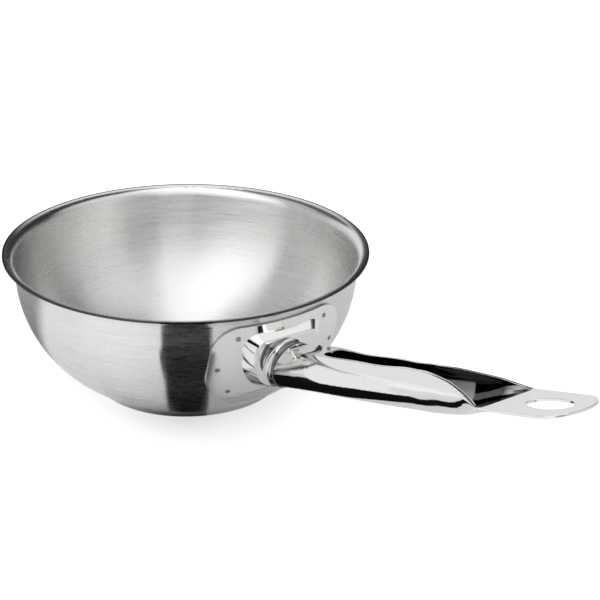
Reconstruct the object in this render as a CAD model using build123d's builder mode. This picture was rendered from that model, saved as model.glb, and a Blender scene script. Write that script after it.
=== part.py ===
from build123d import *
from math import asin, cos, degrees, radians, sin, sqrt, tan
import os

# A 20 cm saucier pan: a drawn bowl with a pouring rim, an encapsulated base, and a hollow
# sheet-metal handle that is welded to a pressed bracket, which is spot welded to the bowl.
# Millimetres, +Z up. The origin is the middle of the base's underside, and the handle points to +X.

# The bowl
rim_radius = 107.6
pan_height = 83.7
flare_width = 6.5
shell_thickness = 1.0
flare_radius = 4.8
lip_slope = 10.0
side_lean = 3.0
straight_side_drop = 14.7
floor_height = 3.6
floor_corner_radius = 9.0

# The encapsulated base
base_inset = 42.7
base_step = 0.2
base_side_lean = 0.9
cap_thickness = 0.6
cap_edge_radius = 1.5
core_gap = 0.05

# The bracket that carries the handle
bracket_thickness = 1.5
bracket_seat_gap = 0.1
plate_half_width = 42.4
plate_top_drop = 7.9
plate_length = 48.5
plate_top_corner = 16.0
plate_bottom_corner = 20.5
plate_side_bulge = 1.6
boss_half_width = 20.4
boss_top = 15.8
boss_bottom = 17.9
boss_corner = 7.0
boss_standoff = 5.4
boss_root_depth = 14.0
boss_side_slope = 0.95
boss_top_slope = 0.7
boss_bottom_slope = 0.45
boss_edge_radius = 2.2
neck_fillet = 2.6

# The handle, measured along and square to its own straight axis
neck_reach = 6.5
handle_root_drop = 33.6
handle_tilt = 18.8
handle_root_lean = 11.0
handle_sheet = 1.2
tube_radius = 12.4
trough_length = 174.5
slot_start = 38.5
slot_mouth = 50.0
slot_half_width = 5.8
step_start = 7.9
step_length = 3.4
least_bulge = 0.3
tab_drop = 2.7
tab_length = 48.0
tab_half_width = 17.1
tab_tip_length = 14.4
hole_tip_margin = 8.3
hole_tip_run = 11.2
hole_root_run = 15.1
hole_half_width = 7.4

# The welds
bead_height = 0.45
bead_half_width = 0.8
bead_gap = 0.1
seam_gap = 0.05
bead_edge_radius = 0.4
spot_radius = 1.3
spot_proud = 0.45
spot_edge_radius = 0.35
spot_gap = 0.05
spot_offsets = (27.9, 36.9, 27.5)
spot_drops = (14.3, 32.8, 50.0)

# Cuts run past what they cut by this much.
overrun = 40.0

# Each row is one station of the handle's tube: how far along the trough it is, then its half width,
# its depth under the axis, its rise over its widest place, the hollow's rise over that place and the
# height of that place over the axis, the last five as shares of the tube's radius.
station_shares = (
    (-0.092, 1.000, 1.000, 1.000, 0.903, 0.000),
    (0.015, 1.000, 1.000, 1.000, 0.903, 0.000),
    (0.061, 1.000, 1.003, 1.015, 0.920, 0.000),
    (0.183, 1.010, 1.027, 1.135, 1.050, 0.000),
    (0.309, 1.020, 1.074, 0.905, 0.847, 0.000),
    (0.430, 1.035, 1.105, 0.813, 0.762, 0.000),
    (0.556, 1.050, 1.122, 0.760, 0.713, 0.000),
    (0.676, 1.062, 1.133, 0.698, 0.665, 0.000),
    (0.739, 1.073, 1.125, 0.654, 0.619, 0.000),
    (0.800, 1.090, 1.082, 0.586, 0.549, 0.000),
    (0.862, 1.125, 0.975, 0.478, 0.440, 0.000),
    (0.923, 1.200, 0.775, 0.260, 0.215, -0.012),
    (0.963, 1.320, 0.580, 0.130, 0.080, -0.140),
    (0.991, 1.400, 0.385, 0.100, 0.050, -0.210),
    (1.032, 1.440, 0.140, 0.100, 0.050, -0.100),
)

# The line along which the tube's top is cut, as shares of the same two sizes: along it and over it.
lip_shares = (
    (0.183, 0.830),
    (0.309, 0.735),
    (0.430, 0.677),
    (0.556, 0.637),
    (0.676, 0.613),
    (0.739, 0.556),
    (0.800, 0.452),
    (0.862, 0.298),
    (0.923, 0.081),
    (0.963, -0.115),
)
roof_share = 0.855

# The bracket and the handle keep their places on the bowl when its rim or its height changes.
throat_radius = rim_radius - flare_width
base_radius = throat_radius - base_inset
handle_root_reach = throat_radius + neck_reach
handle_root_height = pan_height - handle_root_drop
plate_top_height = pan_height - plate_top_drop
plate_bottom_height = plate_top_height - plate_length
tab_reach = trough_length + tab_length
hole_end = tab_reach - hole_tip_margin
hole_widest = hole_end - hole_tip_run
half_turn = 180


def leaning_plane(reach, height, lean):
    """A plane seen edge-on from the side, x across the handle and y up along the lean."""
    facing = (cos(radians(lean)), 0, -sin(radians(lean)))
    return Plane(origin=(reach, 0, height), x_dir=(0, 1, 0), z_dir=facing)


root_plane = leaning_plane(handle_root_reach, handle_root_height, handle_root_lean)
boss_plane = root_plane.offset(-boss_standoff)
tube_plane = leaning_plane(handle_root_reach, handle_root_height, -handle_tilt)

# The outer line of the bowl: the side's curve runs from the floor's edge and is tangent to the
# straight, leaning upper part of the side, which sets its radius.
lip_run = rim_radius - throat_radius - flare_radius * (1 - sin(radians(lip_slope)))
lip_rise = lip_run * tan(radians(lip_slope))
lip_end = (rim_radius, pan_height - shell_thickness * cos(radians(lip_slope)))
flare_end = (rim_radius - lip_run, lip_end[1] - lip_rise)
flare_start = (throat_radius, flare_end[1] - flare_radius * cos(radians(lip_slope)))
side_curve_height = pan_height - straight_side_drop
curve_start = (
    throat_radius - (flare_start[1] - side_curve_height) * tan(radians(side_lean)),
    side_curve_height,
)
floor_edge = (base_radius - base_step, floor_height)
side_run = curve_start[0] - floor_edge[0]
side_rise = curve_start[1] - floor_edge[1]
side_depth = side_run * cos(radians(side_lean)) - side_rise * sin(radians(side_lean))
side_curve_radius = (side_run**2 + side_rise**2) / (side_depth * 2)
curve_centre = (
    curve_start[0] - side_curve_radius * cos(radians(side_lean)),
    curve_start[1] + side_curve_radius * sin(radians(side_lean)),
)
floor_drop = curve_centre[1] - floor_height

# The bowl is one drawn sheet, its outer line thickened inwards.
with BuildPart() as pan_shell:
    with BuildSketch(Plane.XZ):
        with BuildLine():
            Line((0, floor_height), floor_edge)
            RadiusArc(floor_edge, curve_start, -side_curve_radius)
            Line(curve_start, flare_start)
            RadiusArc(flare_start, flare_end, flare_radius)
            Line(flare_end, lip_end)
            offset(amount=shell_thickness, side=Side.LEFT)
        make_face()
    revolve(axis=Axis.Z)
    inner_floor = pan_shell.faces().filter_by(GeomType.PLANE).sort_by(Axis.Z)[1]
    fillet(inner_floor.edges(), floor_corner_radius)
pan_shell.part.label = "pan_shell"

# The cap is a shallow pressed dish whose lip closes on the foot of the bowl's side.
base_foot_radius = base_radius - base_side_lean
with BuildPart() as base_cap:
    with BuildSketch(Plane.XZ):
        with BuildLine() as cap_line:
            Polyline((0, 0), (base_foot_radius, 0), (base_radius, floor_height))
            fillet(cap_line.vertices().sort_by(Axis.X)[1], cap_edge_radius)
            offset(amount=cap_thickness, side=Side.LEFT)
        make_face()
    revolve(axis=Axis.Z)
    split(bisect_by=Plane.XY.offset(floor_height), keep=Keep.BOTTOM)
base_cap.part.label = "base_cap"

# The aluminium core fills the cap up to the bowl's floor.
core_inset = cap_thickness + core_gap
with BuildPart() as heat_spreader:
    with BuildSketch(Plane.XZ) as core_profile:
        with BuildLine():
            Polyline(
                (0, core_inset),
                (base_foot_radius - core_inset, core_inset),
                (base_radius - core_inset, floor_height - core_gap),
                (0, floor_height - core_gap),
                close=True,
            )
        make_face()
        foot_corner = core_profile.vertices().sort_by(Axis.Y)[:2].sort_by(Axis.X)[-1]
        fillet(foot_corner, cap_edge_radius - cap_thickness)
    revolve(axis=Axis.Z)
heat_spreader.part.label = "heat_spreader"


def bowl_block(grow):
    """The bowl's side as a solid of revolution, grown outwards: what the bracket is seated on."""
    radius = side_curve_radius + grow
    top = (
        curve_start[0] + grow * cos(radians(side_lean)),
        curve_start[1] - grow * sin(radians(side_lean)),
    )
    bottom = (curve_centre[0] + sqrt(radius**2 - floor_drop**2), floor_height)
    upper = (throat_radius + grow / cos(radians(side_lean)), flare_start[1])
    over = (upper[0], pan_height)
    with BuildPart() as block:
        with BuildSketch(Plane.XZ):
            with BuildLine():
                Line((0, floor_height), bottom)
                RadiusArc(bottom, top, -radius)
                Line(top, upper)
                Polyline(upper, over, (0, pan_height), (0, floor_height))
            make_face()
        revolve(axis=Axis.Z)
    return block.part


def boss_outline(plane, half_width, top, bottom, corner):
    """The boss seen along the handle: a flat top, round corners and a bowl-shaped foot."""
    shoulder = top - corner
    with BuildSketch(plane) as outline:
        with BuildLine():
            Line((half_width - corner, top), (corner - half_width, top))
            CenterArc((corner - half_width, shoulder), corner, half_turn / 2, half_turn / 2)
            EllipticalCenterArc(
                (0, shoulder), half_width, shoulder + bottom, half_turn, arc_size=half_turn
            )
            CenterArc((half_width - corner, shoulder), corner, 0, half_turn / 2)
        make_face()
    return outline.sketch


def slope_inset(slope):
    """How far an inner wall steps in on its front, so that a sloping sheet keeps its thickness."""
    return bracket_thickness * (sqrt(1 + slope**2) - slope)


def boss_sections(inward):
    """The pressed boss's front and its larger foot inside the bowl, moved in by the sheet or not."""
    half_width = boss_half_width - inward * slope_inset(boss_side_slope)
    top = boss_top - inward * slope_inset(boss_top_slope)
    bottom = boss_bottom - inward * slope_inset(boss_bottom_slope)
    corner = boss_corner - inward * bracket_thickness
    front = boss_plane.offset(-inward * bracket_thickness)
    foot = boss_outline(
        front.offset(-boss_root_depth),
        half_width + boss_root_depth * boss_side_slope,
        top + boss_root_depth * boss_top_slope,
        bottom + boss_root_depth * boss_bottom_slope,
        corner + boss_root_depth * boss_top_slope,
    )
    return [boss_outline(front, half_width, top, bottom, corner), foot]


def wall_plane(offset, height):
    """A plane that lies on the bowl's wall at a distance beside the handle and a height."""
    drop = curve_centre[1] - height
    reach = sqrt(side_curve_radius**2 - drop**2)
    bearing = degrees(asin(offset / (curve_centre[0] + reach)))
    origin = Vector(curve_centre[0] + reach, 0, height).rotate(Axis.Z, bearing)
    across = Vector(0, 1, 0).rotate(Axis.Z, bearing)
    facing = Vector(reach, 0, -drop).rotate(Axis.Z, bearing)
    return Plane(origin=origin, x_dir=across, z_dir=facing)


spot_planes = [
    wall_plane(side * offset, pan_height - drop)
    for offset, drop in zip(spot_offsets, spot_drops)
    for side in (-1, 1)
]

# The plate is a patch of a sheet that follows the bowl's side, cut to its outline along the handle.
seat_block = bowl_block(bracket_seat_gap)
sheet_block = bowl_block(bracket_seat_gap + bracket_thickness)
plate_waist = plate_half_width - plate_side_bulge
plate_middle = (plate_top_height + plate_bottom_height) / 2
with BuildPart() as plate_patch:
    with BuildSketch(Plane.YZ) as plate_face:
        with BuildLine():
            Line((-plate_waist, plate_top_height), (plate_waist, plate_top_height))
            ThreePointArc(
                (plate_waist, plate_top_height),
                (plate_half_width, plate_middle),
                (plate_waist, plate_bottom_height),
            )
            Line((plate_waist, plate_bottom_height), (-plate_waist, plate_bottom_height))
            ThreePointArc(
                (-plate_waist, plate_bottom_height),
                (-plate_half_width, plate_middle),
                (-plate_waist, plate_top_height),
            )
        make_face()
        fillet(plate_face.vertices().group_by(Axis.Y)[-1], plate_top_corner)
        fillet(plate_face.vertices().group_by(Axis.Y)[0], plate_bottom_corner)
    extrude(amount=rim_radius)
    add(sheet_block, mode=Mode.INTERSECT)

# The bracket is one pressed sheet: the plate, a boss with sloping walls and a short neck that takes
# the handle. Its outside is made first, then the same forms a sheet smaller are cut from it.
with BuildPart() as handle_bracket:
    loft(boss_sections(0), ruled=True)
    fillet(handle_bracket.faces().sort_by(Axis.X)[-1].edges(), boss_edge_radius)
    with BuildSketch(tube_plane.offset(-boss_root_depth)):
        Circle(tube_radius)
    extrude(amount=boss_root_depth + tube_radius)
    neck = handle_bracket.faces().filter_by(GeomType.CYLINDER).sort_by(Axis.X)[-1]
    fillet(neck.edges().sort_by(Axis.X)[0], neck_fillet)
    split(bisect_by=root_plane, keep=Keep.BOTTOM)
    add(plate_patch.part)
    add(seat_block, mode=Mode.SUBTRACT)
    loft(boss_sections(1), ruled=True, mode=Mode.SUBTRACT)
    with BuildSketch(tube_plane.offset(-boss_root_depth)):
        Circle(tube_radius - bracket_thickness)
    extrude(amount=boss_root_depth + tube_radius, mode=Mode.SUBTRACT)
    for spot_plane in spot_planes:
        with BuildSketch(spot_plane):
            Circle(spot_radius + spot_gap)
        extrude(amount=bracket_seat_gap + bracket_thickness + spot_proud, mode=Mode.SUBTRACT)
handle_bracket.part.label = "handle_bracket"

# Six spot welds hold the bracket's plate to the bowl.
with BuildPart() as spot_welds:
    for spot_plane in spot_planes:
        with BuildSketch(spot_plane.offset(spot_gap)):
            Circle(spot_radius)
        extrude(amount=bracket_seat_gap + bracket_thickness + spot_proud - spot_gap)
    for spot_plane in spot_planes:
        head_edge = spot_welds.edges().filter_by(GeomType.CIRCLE).sort_by_distance(
            spot_plane.offset(bracket_seat_gap + bracket_thickness + spot_proud).origin
        )[0]
        fillet(head_edge, spot_edge_radius)
spot_welds.part.label = "spot_welds"


def tube_sections(inset):
    """The tube's closed sections, half an ellipse under and over its widest place, set in or not."""
    sections = []
    for along, half_width, depth, rise, hollow_rise, middle in station_shares:
        floor = inset - depth * tube_radius
        centre = max(middle * tube_radius, floor + least_bulge)
        across = half_width * tube_radius - inset
        over = (hollow_rise if inset else rise) * tube_radius
        with BuildSketch(tube_plane.offset(along * trough_length)) as outline:
            with BuildLine():
                EllipticalCenterArc((0, centre), across, over, 0, arc_size=half_turn)
                EllipticalCenterArc(
                    (0, centre), across, centre - floor, half_turn, arc_size=half_turn
                )
            make_face()
        sections.append(outline.sketch)
    return sections


handle_run = Vector(cos(radians(handle_tilt)), 0, sin(radians(handle_tilt)))
handle_up = Vector(-sin(radians(handle_tilt)), 0, cos(radians(handle_tilt)))
side_plane = Plane(origin=tube_plane.origin, x_dir=handle_run, z_dir=(0, -1, 0))
tab_plane = Plane(origin=tube_plane.origin - handle_up * tab_drop, x_dir=handle_run, z_dir=handle_up)
axis_plane = Plane(origin=tube_plane.origin, x_dir=handle_run, z_dir=handle_up)

# What is cut off the tube's top: a step down from the round root, a flat roof, then the lips' line.
# The step's curve starts over the tube, so that it cuts clear of the tube's top.
roof_height = roof_share * tube_radius
step_top = (step_start, tube_radius * 2 - roof_height)
step_middle = (step_start + step_length / 3, tube_radius)
step_foot = (step_start + step_length, roof_height)
lip_points = [step_foot]
lip_points += [(along * trough_length, over * tube_radius) for along, over in lip_shares]
lip_points += [(trough_length, -tab_drop)]
tab_start = station_shares[-2][0] * trough_length
with BuildPart() as top_cutter:
    with BuildSketch(side_plane):
        with BuildLine():
            Spline(step_top, step_middle, step_foot, tangents=((0, -1), (1, 0)))
            Spline(*lip_points, tangents=((1, 0), (1, 0)))
            Polyline(
                lip_points[-1],
                (tab_reach, -tab_drop),
                (tab_reach, overrun),
                (step_top[0], overrun),
                step_top,
            )
        make_face()
    extrude(amount=overrun, both=True)

# The sheet's roof over the hollow is what stays between that cut and the same cut a sheet lower.
with BuildPart() as roof_cutter:
    add(top_cutter.part.moved(Location(handle_up * -handle_sheet)))
    split(bisect_by=tube_plane.offset(slot_mouth), keep=Keep.BOTTOM)

# The hollow runs open to the bracket; the slot in its roof starts round and opens into the trough.
with BuildPart() as handle_hollow:
    loft(tube_sections(handle_sheet))
    add(roof_cutter.part, mode=Mode.SUBTRACT)
    with BuildSketch(axis_plane):
        with Locations((slot_start + slot_half_width, 0)):
            Circle(slot_half_width)
            slot_run = slot_mouth - slot_start - slot_half_width
            Rectangle(slot_run, slot_half_width * 2, align=(Align.MIN, Align.CENTER))
    extrude(amount=overrun)

# The handle's outline from above ends in the flat tab's round tip.
with BuildPart() as handle_outline:
    with BuildSketch(axis_plane):
        with BuildLine():
            Polyline(
                (tab_reach - tab_tip_length, tab_half_width),
                (-overrun, tab_half_width),
                (-overrun, -tab_half_width),
                (tab_reach - tab_tip_length, -tab_half_width),
            )
            EllipticalCenterArc(
                (tab_reach - tab_tip_length, 0),
                tab_tip_length,
                tab_half_width,
                -half_turn / 2,
                arc_size=half_turn,
            )
        make_face()
    extrude(amount=overrun, both=True)

# The handle is a drawn tube, cut open along its top and pressed flat into a tab with a hanging hole.
with BuildPart() as handle:
    loft(tube_sections(0))
    with BuildSketch(tab_plane):
        with Locations((tab_start, 0)):
            Rectangle(tab_reach - tab_start, overrun * 2, align=(Align.MIN, Align.CENTER))
    extrude(amount=-handle_sheet)
    add(handle_outline.part, mode=Mode.INTERSECT)
    add(top_cutter.part, mode=Mode.SUBTRACT)
    add(handle_hollow.part, mode=Mode.SUBTRACT)
    split(bisect_by=root_plane.offset(seam_gap), keep=Keep.TOP)
    with BuildSketch(tab_plane):
        with BuildLine():
            EllipticalCenterArc(
                (hole_widest, 0), hole_tip_run, hole_half_width, -half_turn / 2, arc_size=half_turn
            )
            EllipticalCenterArc(
                (hole_widest, 0), hole_root_run, hole_half_width, half_turn / 2, arc_size=half_turn
            )
        make_face()
    extrude(amount=-handle_sheet, mode=Mode.SUBTRACT)
handle.part.label = "handle"

# A weld bead runs round the seam between the neck and the handle.
bead_reach = tube_radius + bead_gap + bead_height
with BuildPart() as handle_weld_bead:
    with BuildSketch(tube_plane.offset(-bead_reach)):
        Circle(bead_reach)
        Circle(bead_reach - bead_height, mode=Mode.SUBTRACT)
    extrude(amount=bead_reach * 2)
    split(bisect_by=root_plane.offset(bead_half_width), keep=Keep.BOTTOM)
    split(bisect_by=root_plane.offset(-bead_half_width), keep=Keep.TOP)
    rims = handle_weld_bead.edges().filter_by(GeomType.ELLIPSE).sort_by(SortBy.LENGTH)[2:]
    fillet(rims, bead_edge_radius)
handle_weld_bead.part.label = "handle_weld_bead"

os.makedirs("parts", exist_ok=True)
export_step(pan_shell.part, "parts/pan_shell.step")
export_step(heat_spreader.part, "parts/heat_spreader.step")
export_step(base_cap.part, "parts/base_cap.step")
export_step(handle_bracket.part, "parts/handle_bracket.step")
export_step(handle.part, "parts/handle.step")
export_step(handle_weld_bead.part, "parts/handle_weld_bead.step")
export_step(spot_welds.part, "parts/spot_welds.step")
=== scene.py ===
from math import cos, radians, sin

import bpy
from mathutils import Matrix, Vector

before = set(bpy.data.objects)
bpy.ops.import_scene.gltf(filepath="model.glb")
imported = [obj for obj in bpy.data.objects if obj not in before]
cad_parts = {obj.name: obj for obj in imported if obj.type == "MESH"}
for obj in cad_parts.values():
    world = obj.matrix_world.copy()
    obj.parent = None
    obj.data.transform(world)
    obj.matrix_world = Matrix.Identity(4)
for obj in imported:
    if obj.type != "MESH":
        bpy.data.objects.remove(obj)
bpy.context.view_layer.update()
bpy.ops.object.select_all(action="DESELECT")

# The camera stands in front of the pan and to the left of its handle, about 24 degrees above the
# table, and looks at the pan with a long lens from close to a metre away.
camera_place = Vector((0.6824, -0.4133, 0.4072))
camera_right = Vector((0.5807, 0.8138, 0.0205))
camera_up = Vector((-0.3445, 0.2229, 0.9119))
camera_data = bpy.data.cameras.new("studio_camera")
camera_data.lens = 87.22
camera_data.sensor_width = 36.0
camera = bpy.data.objects.new("studio_camera", camera_data)
bpy.context.scene.collection.objects.link(camera)
camera_back = camera_right.cross(camera_up).normalized()
camera_up = camera_back.cross(camera_right).normalized()
turn = Matrix((camera_right.normalized(), camera_up, camera_back)).transposed()
camera.matrix_world = Matrix.Translation(camera_place) @ turn.to_4x4()
bpy.context.scene.camera = camera
bpy.context.scene.view_settings.view_transform = "Standard"

# The bowl is one sheet of 18/10 steel, drawn and spun, then brushed round and round inside and out,
# so its grain runs in rings about the upright axis and a highlight stretches across the rings.


def new_finish(name):
    """A node material with a metal shader, and a way to add nodes to it."""
    finish = bpy.data.materials.new(name)
    finish.use_nodes = True
    finish.node_tree.nodes.clear()
    return finish


def add_node(finish, kind, inputs=None, **settings):
    """One node, with its settings and its inputs: a value is set and a socket is linked."""
    node = finish.node_tree.nodes.new(kind)
    for name, value in settings.items():
        setattr(node, name, value)
    for name, value in (inputs or {}).items():
        if isinstance(value, bpy.types.NodeSocket):
            finish.node_tree.links.new(value, node.inputs[name])
        else:
            node.inputs[name].default_value = value
    return node


def maths(finish, operation, first, second=None):
    """A Math node's result."""
    node = add_node(finish, "ShaderNodeMath", {0: first}, operation=operation)
    if second is not None:
        if isinstance(second, bpy.types.NodeSocket):
            finish.node_tree.links.new(second, node.inputs[1])
        else:
            node.inputs[1].default_value = second
    return node.outputs[0]


def ramp(finish, value, start, end, first, last):
    """One range drawn out to another, and held level past both ends."""
    return add_node(
        finish,
        "ShaderNodeMapRange",
        {"Value": value, "From Min": start, "From Max": end, "To Min": first, "To Max": last},
    ).outputs["Result"]


def ramp_up(finish, value, low, high):
    """0 under one value and 1 over another."""
    return ramp(finish, value, low, high, 0.0, 1.0)


def ramp_down(finish, value, low, high):
    """1 under one value and 0 over another."""
    return ramp(finish, value, low, high, 1.0, 0.0)


def blend(finish, share, first, second):
    """A colour between two others, each a socket, a colour or a grey."""
    node = add_node(finish, "ShaderNodeMix", {"Factor": share}, data_type="RGBA")
    for socket, value in ((node.inputs[6], first), (node.inputs[7], second)):
        if isinstance(value, bpy.types.NodeSocket):
            finish.node_tree.links.new(value, socket)
        elif isinstance(value, tuple):
            socket.default_value = (*value, 1.0)
        else:
            socket.default_value = (value, value, value, 1.0)
    return node.outputs[2]


def flattened(finish, place):
    """A place's offset from the upright axis."""
    sideways = (1.0, 1.0, 0.0)
    return add_node(finish, "ShaderNodeVectorMath", {0: place, 1: sideways}, operation="MULTIPLY").outputs[0]


def ring_grain(finish, along, across, detail=3.0):
    """Noise drawn out into rings about the upright axis: few waves along a ring, many across it."""
    place = add_node(finish, "ShaderNodeTexCoord").outputs["Object"]
    axes = add_node(finish, "ShaderNodeSeparateXYZ", {"Vector": place})
    flat = flattened(finish, place)
    length = add_node(finish, "ShaderNodeVectorMath", {0: flat}, operation="LENGTH")
    facing = add_node(finish, "ShaderNodeVectorMath", {0: flat}, operation="NORMALIZE")
    ring = maths(finish, "ADD", length.outputs["Value"], axes.outputs["Z"])
    climb = maths(finish, "MULTIPLY", ring, across)
    lift = add_node(finish, "ShaderNodeCombineXYZ", {"Z": climb})
    spread = add_node(
        finish, "ShaderNodeVectorMath", {0: facing.outputs[0], "Scale": along}, operation="SCALE"
    )
    where = add_node(
        finish, "ShaderNodeVectorMath", {0: spread.outputs[0], 1: lift.outputs[0]}, operation="ADD"
    )
    grain = add_node(
        finish,
        "ShaderNodeTexNoise",
        {"Vector": where.outputs[0], "Scale": 1.0, "Detail": detail, "Roughness": 0.6},
    )
    return grain.outputs["Fac"]


def soft_edges(finish, radius):
    """A normal that rounds sharp edges, as tumbling and buffing round a cut sheet's."""
    return add_node(finish, "ShaderNodeBevel", {"Radius": radius}, samples=6).outputs["Normal"]


def paint_crease_shade(finish, colour, depth, share):
    """A colour with painted shade in narrow creases: darkened where ambient occlusion finds the surface
    closed in.
    """
    crease = add_node(finish, "ShaderNodeAmbientOcclusion", {"Distance": depth}, samples=8).outputs["AO"]
    closed, wide_open = 0.35, 0.85
    open_share = ramp(finish, crease, closed, wide_open, share, 1.0)
    node = add_node(finish, "ShaderNodeVectorMath", {0: colour, "Scale": open_share}, operation="SCALE")
    return node.outputs[0]


def between(finish, value, low, high):
    """The middle of a noise, which seldom strays past it, drawn out to a range."""
    noise_low, noise_high = 0.25, 0.75
    return ramp(finish, value, noise_low, noise_high, low, high)


def brushed_steel(name, tone, low, high, bump, stretch=1.0):
    """Ring-brushed steel: streaks in tone, gloss and relief, with the highlight drawn across them."""
    finish = new_finish(name)
    fine = ring_grain(finish, 4.5, 1300.0, 4.0)
    broad = ring_grain(finish, 2.5, 380.0)
    fine_share, dark_share = 0.6, 0.74
    fine = maths(finish, "MULTIPLY", fine, fine_share)
    broad = maths(finish, "MULTIPLY", broad, 1.0 - fine_share)
    streaks = maths(finish, "ADD", fine, broad)
    dark = tuple(channel * dark_share for channel in tone)
    colour = blend(finish, between(finish, streaks, 0.0, 1.0), dark, tone)
    edge_round, relief_depth = 0.0004, 0.00008
    relief = add_node(
        finish,
        "ShaderNodeBump",
        {
            "Height": streaks,
            "Strength": bump,
            "Distance": relief_depth,
            "Normal": soft_edges(finish, edge_round),
        },
    )
    tangent = add_node(finish, "ShaderNodeTangent", direction_type="RADIAL", axis="Z")
    place = add_node(finish, "ShaderNodeTexCoord").outputs["Object"]
    reach = add_node(
        finish, "ShaderNodeVectorMath", {0: flattened(finish, place)}, operation="LENGTH"
    ).outputs["Value"]
    flare_start, flare_end, flare_gloss = 0.1012, 0.1022, 0.15
    gloss = ramp(finish, reach, flare_start, flare_end, between(finish, streaks, low, high), flare_gloss)
    # The rim's outermost edge is painted near black: a painted dark reflection, standing for the line the
    # rounded rim reflects.
    rim_line_start, rim_line_end, rim_line_shade_tone = 0.1062, 0.1067, 0.06
    rim_lined_colour = blend(finish, ramp_up(finish, reach, rim_line_start, rim_line_end), colour, rim_line_shade_tone)
    metal = add_node(
        finish,
        "ShaderNodeBsdfPrincipled",
        {
            "Base Color": rim_lined_colour,
            "Metallic": 1.0,
            "Roughness": gloss,
            "Anisotropic": stretch,
            "Anisotropic Rotation": 0.25,
            "Normal": relief.outputs["Normal"],
            "Tangent": tangent.outputs["Tangent"],
        },
    )
    add_node(finish, "ShaderNodeOutputMaterial", {"Surface": metal.outputs["BSDF"]})
    return finish


def shader_socket(finish, name):
    """A finish's metal shader's socket, and what is linked to it so far."""
    shader = next(node for node in finish.node_tree.nodes if node.type == "BSDF_PRINCIPLED")
    return shader.inputs[name], shader.inputs[name].links[0].from_socket


def dress(node, finish):
    """Gives a CAD node its finish."""
    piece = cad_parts[node]
    piece.data.materials.clear()
    piece.data.materials.append(finish)
    for face in piece.data.polygons:
        face.use_smooth = True
    return piece


dress("pan_shell", brushed_steel("bowl_brushed_steel", (0.86, 0.86, 0.85), 0.22, 0.34, 0.13))

# The base is a pressed steel cap over an aluminium disc. The cap is turned and brushed in rings like
# the bowl. The disc is sealed in, and only its rim line would show if the cap were cut.
dress("base_cap", brushed_steel("base_brushed_steel", (0.84, 0.84, 0.83), 0.45, 0.6, 0.3, 0.0))
dress("heat_spreader", brushed_steel("core_aluminium", (0.85, 0.86, 0.87), 0.4, 0.55, 0.2))

# The bracket is one pressed sheet, polished before it is spot welded on: it mirrors the room, with
# the faint haze and waves that pressing and buffing leave.


def polished_steel(name, tone, low, high, wave):
    """Buffed steel: soft waves from pressing and haze in patches, with painted shade in its creases."""
    finish = new_finish(name)
    place = add_node(finish, "ShaderNodeTexCoord").outputs["Object"]
    haze_scale, wave_scale, wave_depth = 60.0, 35.0, 0.0003
    edge_round, crease_depth, crease_shade_share = 0.0005, 0.004, 0.10
    haze = add_node(
        finish, "ShaderNodeTexNoise", {"Vector": place, "Scale": haze_scale, "Detail": 4.0}
    ).outputs["Fac"]
    waves = add_node(
        finish, "ShaderNodeTexNoise", {"Vector": place, "Scale": wave_scale, "Detail": 1.0}
    ).outputs["Fac"]
    relief = add_node(
        finish,
        "ShaderNodeBump",
        {
            "Height": waves,
            "Strength": wave,
            "Distance": wave_depth,
            "Normal": soft_edges(finish, edge_round),
        },
    )
    metal = add_node(
        finish,
        "ShaderNodeBsdfPrincipled",
        {
            # The base colour carries painted shade: it goes darker in creases, where ambient occlusion finds
            # the surface closed in.
            "Base Color": paint_crease_shade(finish, tone, crease_depth, crease_shade_share),
            "Metallic": 1.0,
            "Roughness": between(finish, haze, low, high),
            "Normal": relief.outputs["Normal"],
        },
    )
    add_node(finish, "ShaderNodeOutputMaterial", {"Surface": metal.outputs["BSDF"]})
    return finish


bracket_finish = polished_steel("bracket_polished_steel", (0.80, 0.80, 0.79), 0.05, 0.10, 0.08)
place = add_node(bracket_finish, "ShaderNodeTexCoord").outputs["Object"]
axes = add_node(bracket_finish, "ShaderNodeSeparateXYZ", {"Vector": place})
# The bracket's neck, past the boss, is painted darker: painted shade for the dark between the boss and the
# handle.
neck_start, neck_end, neck_shade_tone = 0.1056, 0.1062, 0.30
neck_shade = ramp(bracket_finish, axes.outputs["X"], neck_start, neck_end, 1.0, neck_shade_tone)
colour_socket, shaded = shader_socket(bracket_finish, "Base Color")
neck_shaded = add_node(bracket_finish, "ShaderNodeVectorMath", {0: shaded, "Scale": neck_shade}, operation="SCALE")
bracket_finish.node_tree.links.new(neck_shaded.outputs[0], colour_socket)
boss_edge, plate_start, plate_gloss = 0.0245, 0.0280, 0.38
aside = maths(bracket_finish, "ABSOLUTE", axes.outputs["Y"])
gloss_socket, mirror = shader_socket(bracket_finish, "Roughness")
satin = ramp(bracket_finish, aside, boss_edge, plate_start, mirror, plate_gloss)
bracket_finish.node_tree.links.new(satin, gloss_socket)
dress("handle_bracket", bracket_finish)


# The handle is one drawn sheet, cut open along its top and flattened to a tab at its end. Its outside
# is buffed to a mirror. The inside of its channel is painted near black as painted shade, but for a satin
# patch where the wheel reaches.
handle_root, handle_along, handle_up = (0.1076, 0.0, 0.0501), (0.9467, 0.0, 0.3223), (-0.3223, 0.0, 0.9467)
handle_finish = polished_steel("handle_mirror_steel", (0.82, 0.82, 0.81), 0.04, 0.08, 0.05)
place = add_node(handle_finish, "ShaderNodeTexCoord").outputs["Object"]
from_root = add_node(
    handle_finish, "ShaderNodeVectorMath", {0: place, 1: handle_root}, operation="SUBTRACT"
).outputs[0]
run = add_node(
    handle_finish, "ShaderNodeVectorMath", {0: from_root, 1: handle_along}, operation="DOT_PRODUCT"
).outputs["Value"]
rise = add_node(
    handle_finish, "ShaderNodeVectorMath", {0: from_root, 1: handle_up}, operation="DOT_PRODUCT"
).outputs["Value"]
along_axis = add_node(
    handle_finish, "ShaderNodeVectorMath", {0: handle_along, "Scale": run}, operation="SCALE"
)
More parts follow.
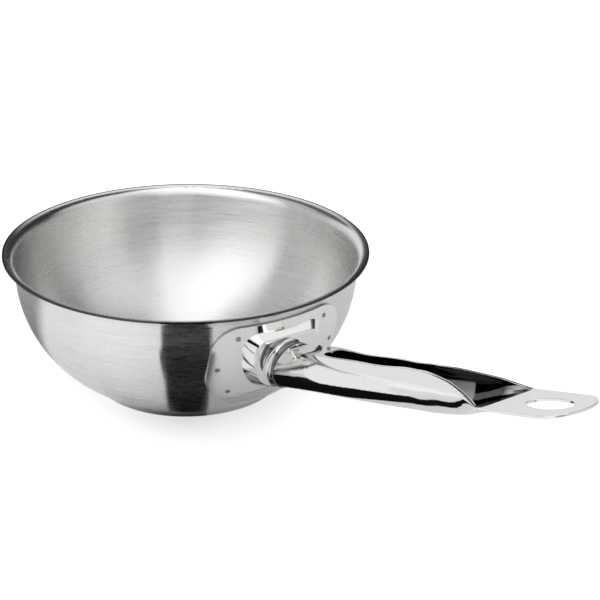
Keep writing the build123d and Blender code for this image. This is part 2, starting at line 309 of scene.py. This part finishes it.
outward = add_node(
    handle_finish, "ShaderNodeVectorMath", {0: from_root, 1: along_axis.outputs[0]}, operation="SUBTRACT"
)
outward = add_node(handle_finish, "ShaderNodeVectorMath", {0: outward.outputs[0]}, operation="NORMALIZE")
normal = add_node(handle_finish, "ShaderNodeNewGeometry").outputs["Normal"]
facing_out = add_node(
    handle_finish, "ShaderNodeVectorMath", {0: outward.outputs[0], 1: normal}, operation="DOT_PRODUCT"
).outputs["Value"]
facing_in, facing_aside = -0.25, 0.05
channel_fade = (0.158, 0.166)
patch_height, patch_start, patch_end = (-0.0018, -0.0010), (0.098, 0.106), (0.1380, 0.1395)
inside = ramp_down(handle_finish, facing_out, facing_in, facing_aside)
inside = maths(handle_finish, "MULTIPLY", inside, ramp_down(handle_finish, run, *channel_fade))
patch = ramp_down(handle_finish, rise, *patch_height)
patch = maths(handle_finish, "MULTIPLY", patch, ramp_down(handle_finish, run, *patch_end))
patch = maths(handle_finish, "MULTIPLY", patch, ramp_up(handle_finish, run, *patch_start))
# Painted shade: the inside of the channel is coloured near black, except in the buffed patch.
channel_shade = maths(handle_finish, "MULTIPLY", inside, maths(handle_finish, "SUBTRACT", 1.0, patch))
channel_shade_tone, patch_gloss = 0.08, 0.60
colour_socket, shaded = shader_socket(handle_finish, "Base Color")
handle_finish.node_tree.links.new(blend(handle_finish, channel_shade, shaded, channel_shade_tone), colour_socket)
gloss_socket, mirror = shader_socket(handle_finish, "Roughness")
buffed = maths(handle_finish, "MULTIPLY", inside, patch)
satin = ramp(handle_finish, buffed, 0.0, 1.0, mirror, patch_gloss)
handle_finish.node_tree.links.new(satin, gloss_socket)
dress("handle", handle_finish)

# The weld round the neck is ground and buffed down to a smooth ring, coloured dark grey.
dress("handle_weld_bead", polished_steel("weld_buffed_steel", (0.20, 0.20, 0.20), 0.12, 0.20, 0.2))

# The six spot welds are small struck dots with a dull, heat-greyed face.
dress("spot_welds", polished_steel("spot_weld_steel", (0.28, 0.28, 0.28), 0.2, 0.35, 0.3))

# The table is a plain pale sheet. The camera sees it nearly white, with the pan's soft shadow. Painted into
# its colour and seen by the steel only are a strip of painted shade from the pan's foot towards the camera,
# a painted brighter side and a painted dimmer one.
bpy.ops.mesh.primitive_plane_add(size=12.0)
table = bpy.context.object
table.name = "studio_table"


def tones(finish, value, stops):
    """Greys round a full turn, from a list of (degrees, tone)."""
    ramp = add_node(finish, "ShaderNodeValToRGB", {"Fac": value})
    while len(ramp.color_ramp.elements) > 1:
        ramp.color_ramp.elements.remove(ramp.color_ramp.elements[0])
    first, *rest = stops
    ramp.color_ramp.elements[0].position = first[0] / 360
    ramp.color_ramp.elements[0].color = (first[1], first[1], first[1], 1.0)
    for position, tone in rest:
        stop = ramp.color_ramp.elements.new(position / 360)
        stop.color = (tone, tone, tone, 1.0)
    return ramp.outputs["Color"]


camera_bearing = radians(-31.2)
cloth = new_finish("table_white")
place = add_node(cloth, "ShaderNodeTexCoord").outputs["Object"]
spun = add_node(
    cloth, "ShaderNodeVectorRotate", {"Vector": place, "Angle": -camera_bearing}, rotation_type="Z_AXIS"
)
axes = add_node(cloth, "ShaderNodeSeparateXYZ", {"Vector": spun.outputs["Vector"]})
heading = maths(cloth, "ARCTAN2", axes.outputs["Y"], axes.outputs["X"])
out_to_camera = axes.outputs["X"]
path = add_node(cloth, "ShaderNodeLightPath")
seen_by_steel = path.outputs["Is Glossy Ray"]


def turned_to(finish, heading, degrees):
    """1 on one heading, falling off as a cosine to both sides."""
    return maths(finish, "COSINE", maths(finish, "ADD", heading, radians(degrees)))


# Seen by the steel only: a strip of painted shade, a side of painted light and a patch of painted shade
# behind the pan.
strip = ramp_up(cloth, heading, radians(-12.0), radians(-10.5))
fringe = ramp_up(cloth, heading, radians(-50.0), radians(-10.5))
fringe = maths(cloth, "MULTIPLY", fringe, ramp_down(cloth, out_to_camera, 0.060, 0.078))
strip = maths(cloth, "MAXIMUM", strip, fringe)
for edge in (
    ramp_down(cloth, heading, radians(9.0), radians(11.0)),
    ramp_up(cloth, out_to_camera, 0.030, 0.045),
    ramp_down(cloth, out_to_camera, 0.102, 0.104),
):
    strip = maths(cloth, "MULTIPLY", strip, edge)
unlit = maths(cloth, "MULTIPLY", strip, seen_by_steel)
lit = maths(cloth, "MULTIPLY", ramp_up(cloth, turned_to(cloth, heading, 60.0), 0.3, 0.9), seen_by_steel)
away = add_node(cloth, "ShaderNodeVectorMath", {0: place}, operation="LENGTH").outputs["Value"]
shade_behind = ramp_up(cloth, turned_to(cloth, heading, 112.0), 0.90, 0.97)
shade_behind = maths(cloth, "MULTIPLY", shade_behind, ramp_down(cloth, away, 0.30, 0.36))
shade_behind = maths(cloth, "MULTIPLY", shade_behind, seen_by_steel)
plain_tone, bright_tone, dim_tone, unlit_tone, camera_glow = 0.9, 1.2, 0.25, 0.01, 0.5
table_tone = blend(cloth, shade_behind, blend(cloth, lit, plain_tone, bright_tone), dim_tone)
matt = add_node(cloth, "ShaderNodeBsdfDiffuse", {"Color": blend(cloth, unlit, table_tone, unlit_tone)})
glow = add_node(cloth, "ShaderNodeEmission", {"Color": (1.0, 1.0, 1.0, 1.0)})
glow_strength = maths(cloth, "MULTIPLY", path.outputs["Is Camera Ray"], camera_glow)
cloth.node_tree.links.new(glow_strength, glow.inputs["Strength"])
both = add_node(cloth, "ShaderNodeAddShader", {0: matt.outputs[0], 1: glow.outputs[0]})
add_node(cloth, "ShaderNodeOutputMaterial", {"Surface": both.outputs[0]})
table.data.materials.append(cloth)

# Rows of upright cards give the steel its dark lines, as a photographer's flags do: one row stands
# between the pan and the camera, one lies along under the handle, and a white one lights the boss.


def card_finish(name, tone):
    """A flat tone on the card's front, and nothing on its back."""
    flag = new_finish(name)
    facing = add_node(flag, "ShaderNodeNewGeometry")
    clear = add_node(flag, "ShaderNodeBsdfTransparent")
    front = add_node(flag, "ShaderNodeEmission", {"Color": (tone, tone, tone, 1.0), "Strength": 1.0})
    one_side = add_node(
        flag,
        "ShaderNodeMixShader",
        {0: facing.outputs["Backfacing"], 1: front.outputs[0], 2: clear.outputs[0]},
    )
    add_node(flag, "ShaderNodeOutputMaterial", {"Surface": one_side.outputs[0]})
    return flag


def stand_cards(name, finish, feet):
    """Upright cards: each from one foot to the other at a height, its front on the left of that way."""
    corners = []
    for start, end, height in feet:
        corners += [(*end, 0.0), (*start, 0.0), (*start, height), (*end, height)]
    mesh = bpy.data.meshes.new(name)
    mesh.from_pydata(corners, [], [tuple(range(4 * k, 4 * k + 4)) for k in range(len(feet))])
    cards = bpy.data.objects.new(name, mesh)
    bpy.context.scene.collection.objects.link(cards)
    cards.data.materials.append(finish)
    cards.visible_camera = False
    cards.visible_diffuse = False
    cards.visible_shadow = False
    return cards


def towards_camera(out, aside):
    """A place on the table so far out from the pan towards the camera, and so far beside that line."""
    return (
        out * cos(camera_bearing) - aside * sin(camera_bearing),
        out * sin(camera_bearing) + aside * cos(camera_bearing),
    )


black_card = card_finish("card_black", 0.005)
stand_cards(
    "camera_cards",
    black_card,
    [
        (towards_camera(out, -0.170 * out), towards_camera(out, 0.150 * out), height)
        for out, height in (
            (0.104, 0.060),
            (0.116, 0.075),
            (0.130, 0.085),
            (0.146, 0.090),
            (0.164, 0.095),
            (0.184, 0.100),
            (0.206, 0.110),
            (0.222, 0.120),
        )
    ],
)
cards_per_part, low_card, tall_card, tall_from = 4, 0.006, 0.009, 0.09
# How far out each part of the row under the handle starts, and its near and far edges there.
strip_edges = [
    (0.073, -0.034, 0.018),
    (0.090, -0.038, 0.018),
    (0.111, -0.041, 0.018),
    (0.125, -0.046, 0.014),
    (0.139, -0.052, 0.004),
    (0.153, -0.055, -0.006),
    (0.167, -0.056, -0.014),
    (0.181, -0.054, -0.020),
    (0.195, -0.048, -0.018),
    (0.209, -0.038, -0.012),
    (0.225, -0.026, -0.008),
]
cards = []
for (start, start_near, start_far), (end, end_near, end_far) in zip(strip_edges, strip_edges[1:]):
    for step in range(cards_per_part):
        share = step / cards_per_part
        out = start + (end - start) * share
        near = start_near + (end_near - start_near) * share
        far = start_far + (end_far - start_far) * share
        cards.append(((out, far), (out, near), low_card if out < tall_from else tall_card))
stand_cards("handle_cards", black_card, cards)
stand_cards("boss_card", card_finish("card_white", 0.95), [((0.094, -0.0430), (0.147, -0.0600), 0.075)])

# The room is a white tent: plain white to the camera, even light on the table, and to the steel a
# ring of soft walls with a bright top and darker gaps between them.
room = bpy.data.worlds.new("studio_room")
bpy.context.scene.world = room
room.use_nodes = True
room.node_tree.nodes.clear()
place = add_node(room, "ShaderNodeTexCoord").outputs["Generated"]
axes = add_node(room, "ShaderNodeSeparateXYZ", {"Vector": place})
turns = maths(room, "DIVIDE", maths(room, "ARCTAN2", axes.outputs["Y"], axes.outputs["X"]), radians(360))
bearing = maths(room, "FRACT", turns)
backdrop_tones = [
    (0, 0.85),
    (60, 0.80),
    (150, 0.85),
    (165, 0.95),
    (252, 1.05),
    (298, 1.00),
    (311, 0.75),
    (318, 0.40),
    (340, 0.40),
    (347, 0.75),
]
wall_tones = [
    (0, 0.35),
    (12, 0.45),
    (18, 0.80),
    (30, 0.72),
    (52, 0.50),
    (66, 0.30),
    (78, 0.04),
    (152, 0.04),
    (162, 0.90),
    (214, 0.90),
    (219, 0.55),
    (254, 0.60),
    (259, 1.55),
    (300, 1.50),
    (311, 1.20),
    (318, 0.95),
    (346, 0.95),
    (352, 0.35),
]
high_tones = [
    (0, 1.00),
    (25, 1.00),
    (40, 1.05),
    (55, 1.00),
    (70, 0.90),
    (79, 0.80),
    (83, 0.03),
    (139, 0.03),
    (142, 1.10),
    (156, 1.10),
    (163, 0.10),
    (206, 0.12),
    (214, 0.65),
    (254, 0.70),
    (259, 1.75),
    (300, 1.75),
    (311, 1.65),
    (338, 1.40),
]
height = axes.outputs["Z"]
backdrop_top, wall_top, cap_start, cap_tone = (0.08, 0.14), (0.46, 0.54), (0.93, 0.98), 1.5
backdrop = tones(room, bearing, backdrop_tones)
low = blend(room, ramp_up(room, height, *backdrop_top), backdrop, tones(room, bearing, wall_tones))
side = blend(room, ramp_up(room, height, *wall_top), low, tones(room, bearing, high_tones))
seen = blend(room, ramp_up(room, height, *cap_start), side, cap_tone)
path = add_node(room, "ShaderNodeLightPath")
by_steel = blend(room, path.outputs["Is Glossy Ray"], 0.9, seen)
by_camera = blend(room, path.outputs["Is Camera Ray"], by_steel, 1.0)
sky = add_node(room, "ShaderNodeBackground", {"Color": by_camera, "Strength": 1.0})
add_node(room, "ShaderNodeOutputWorld", {"Surface": sky.outputs[0]})
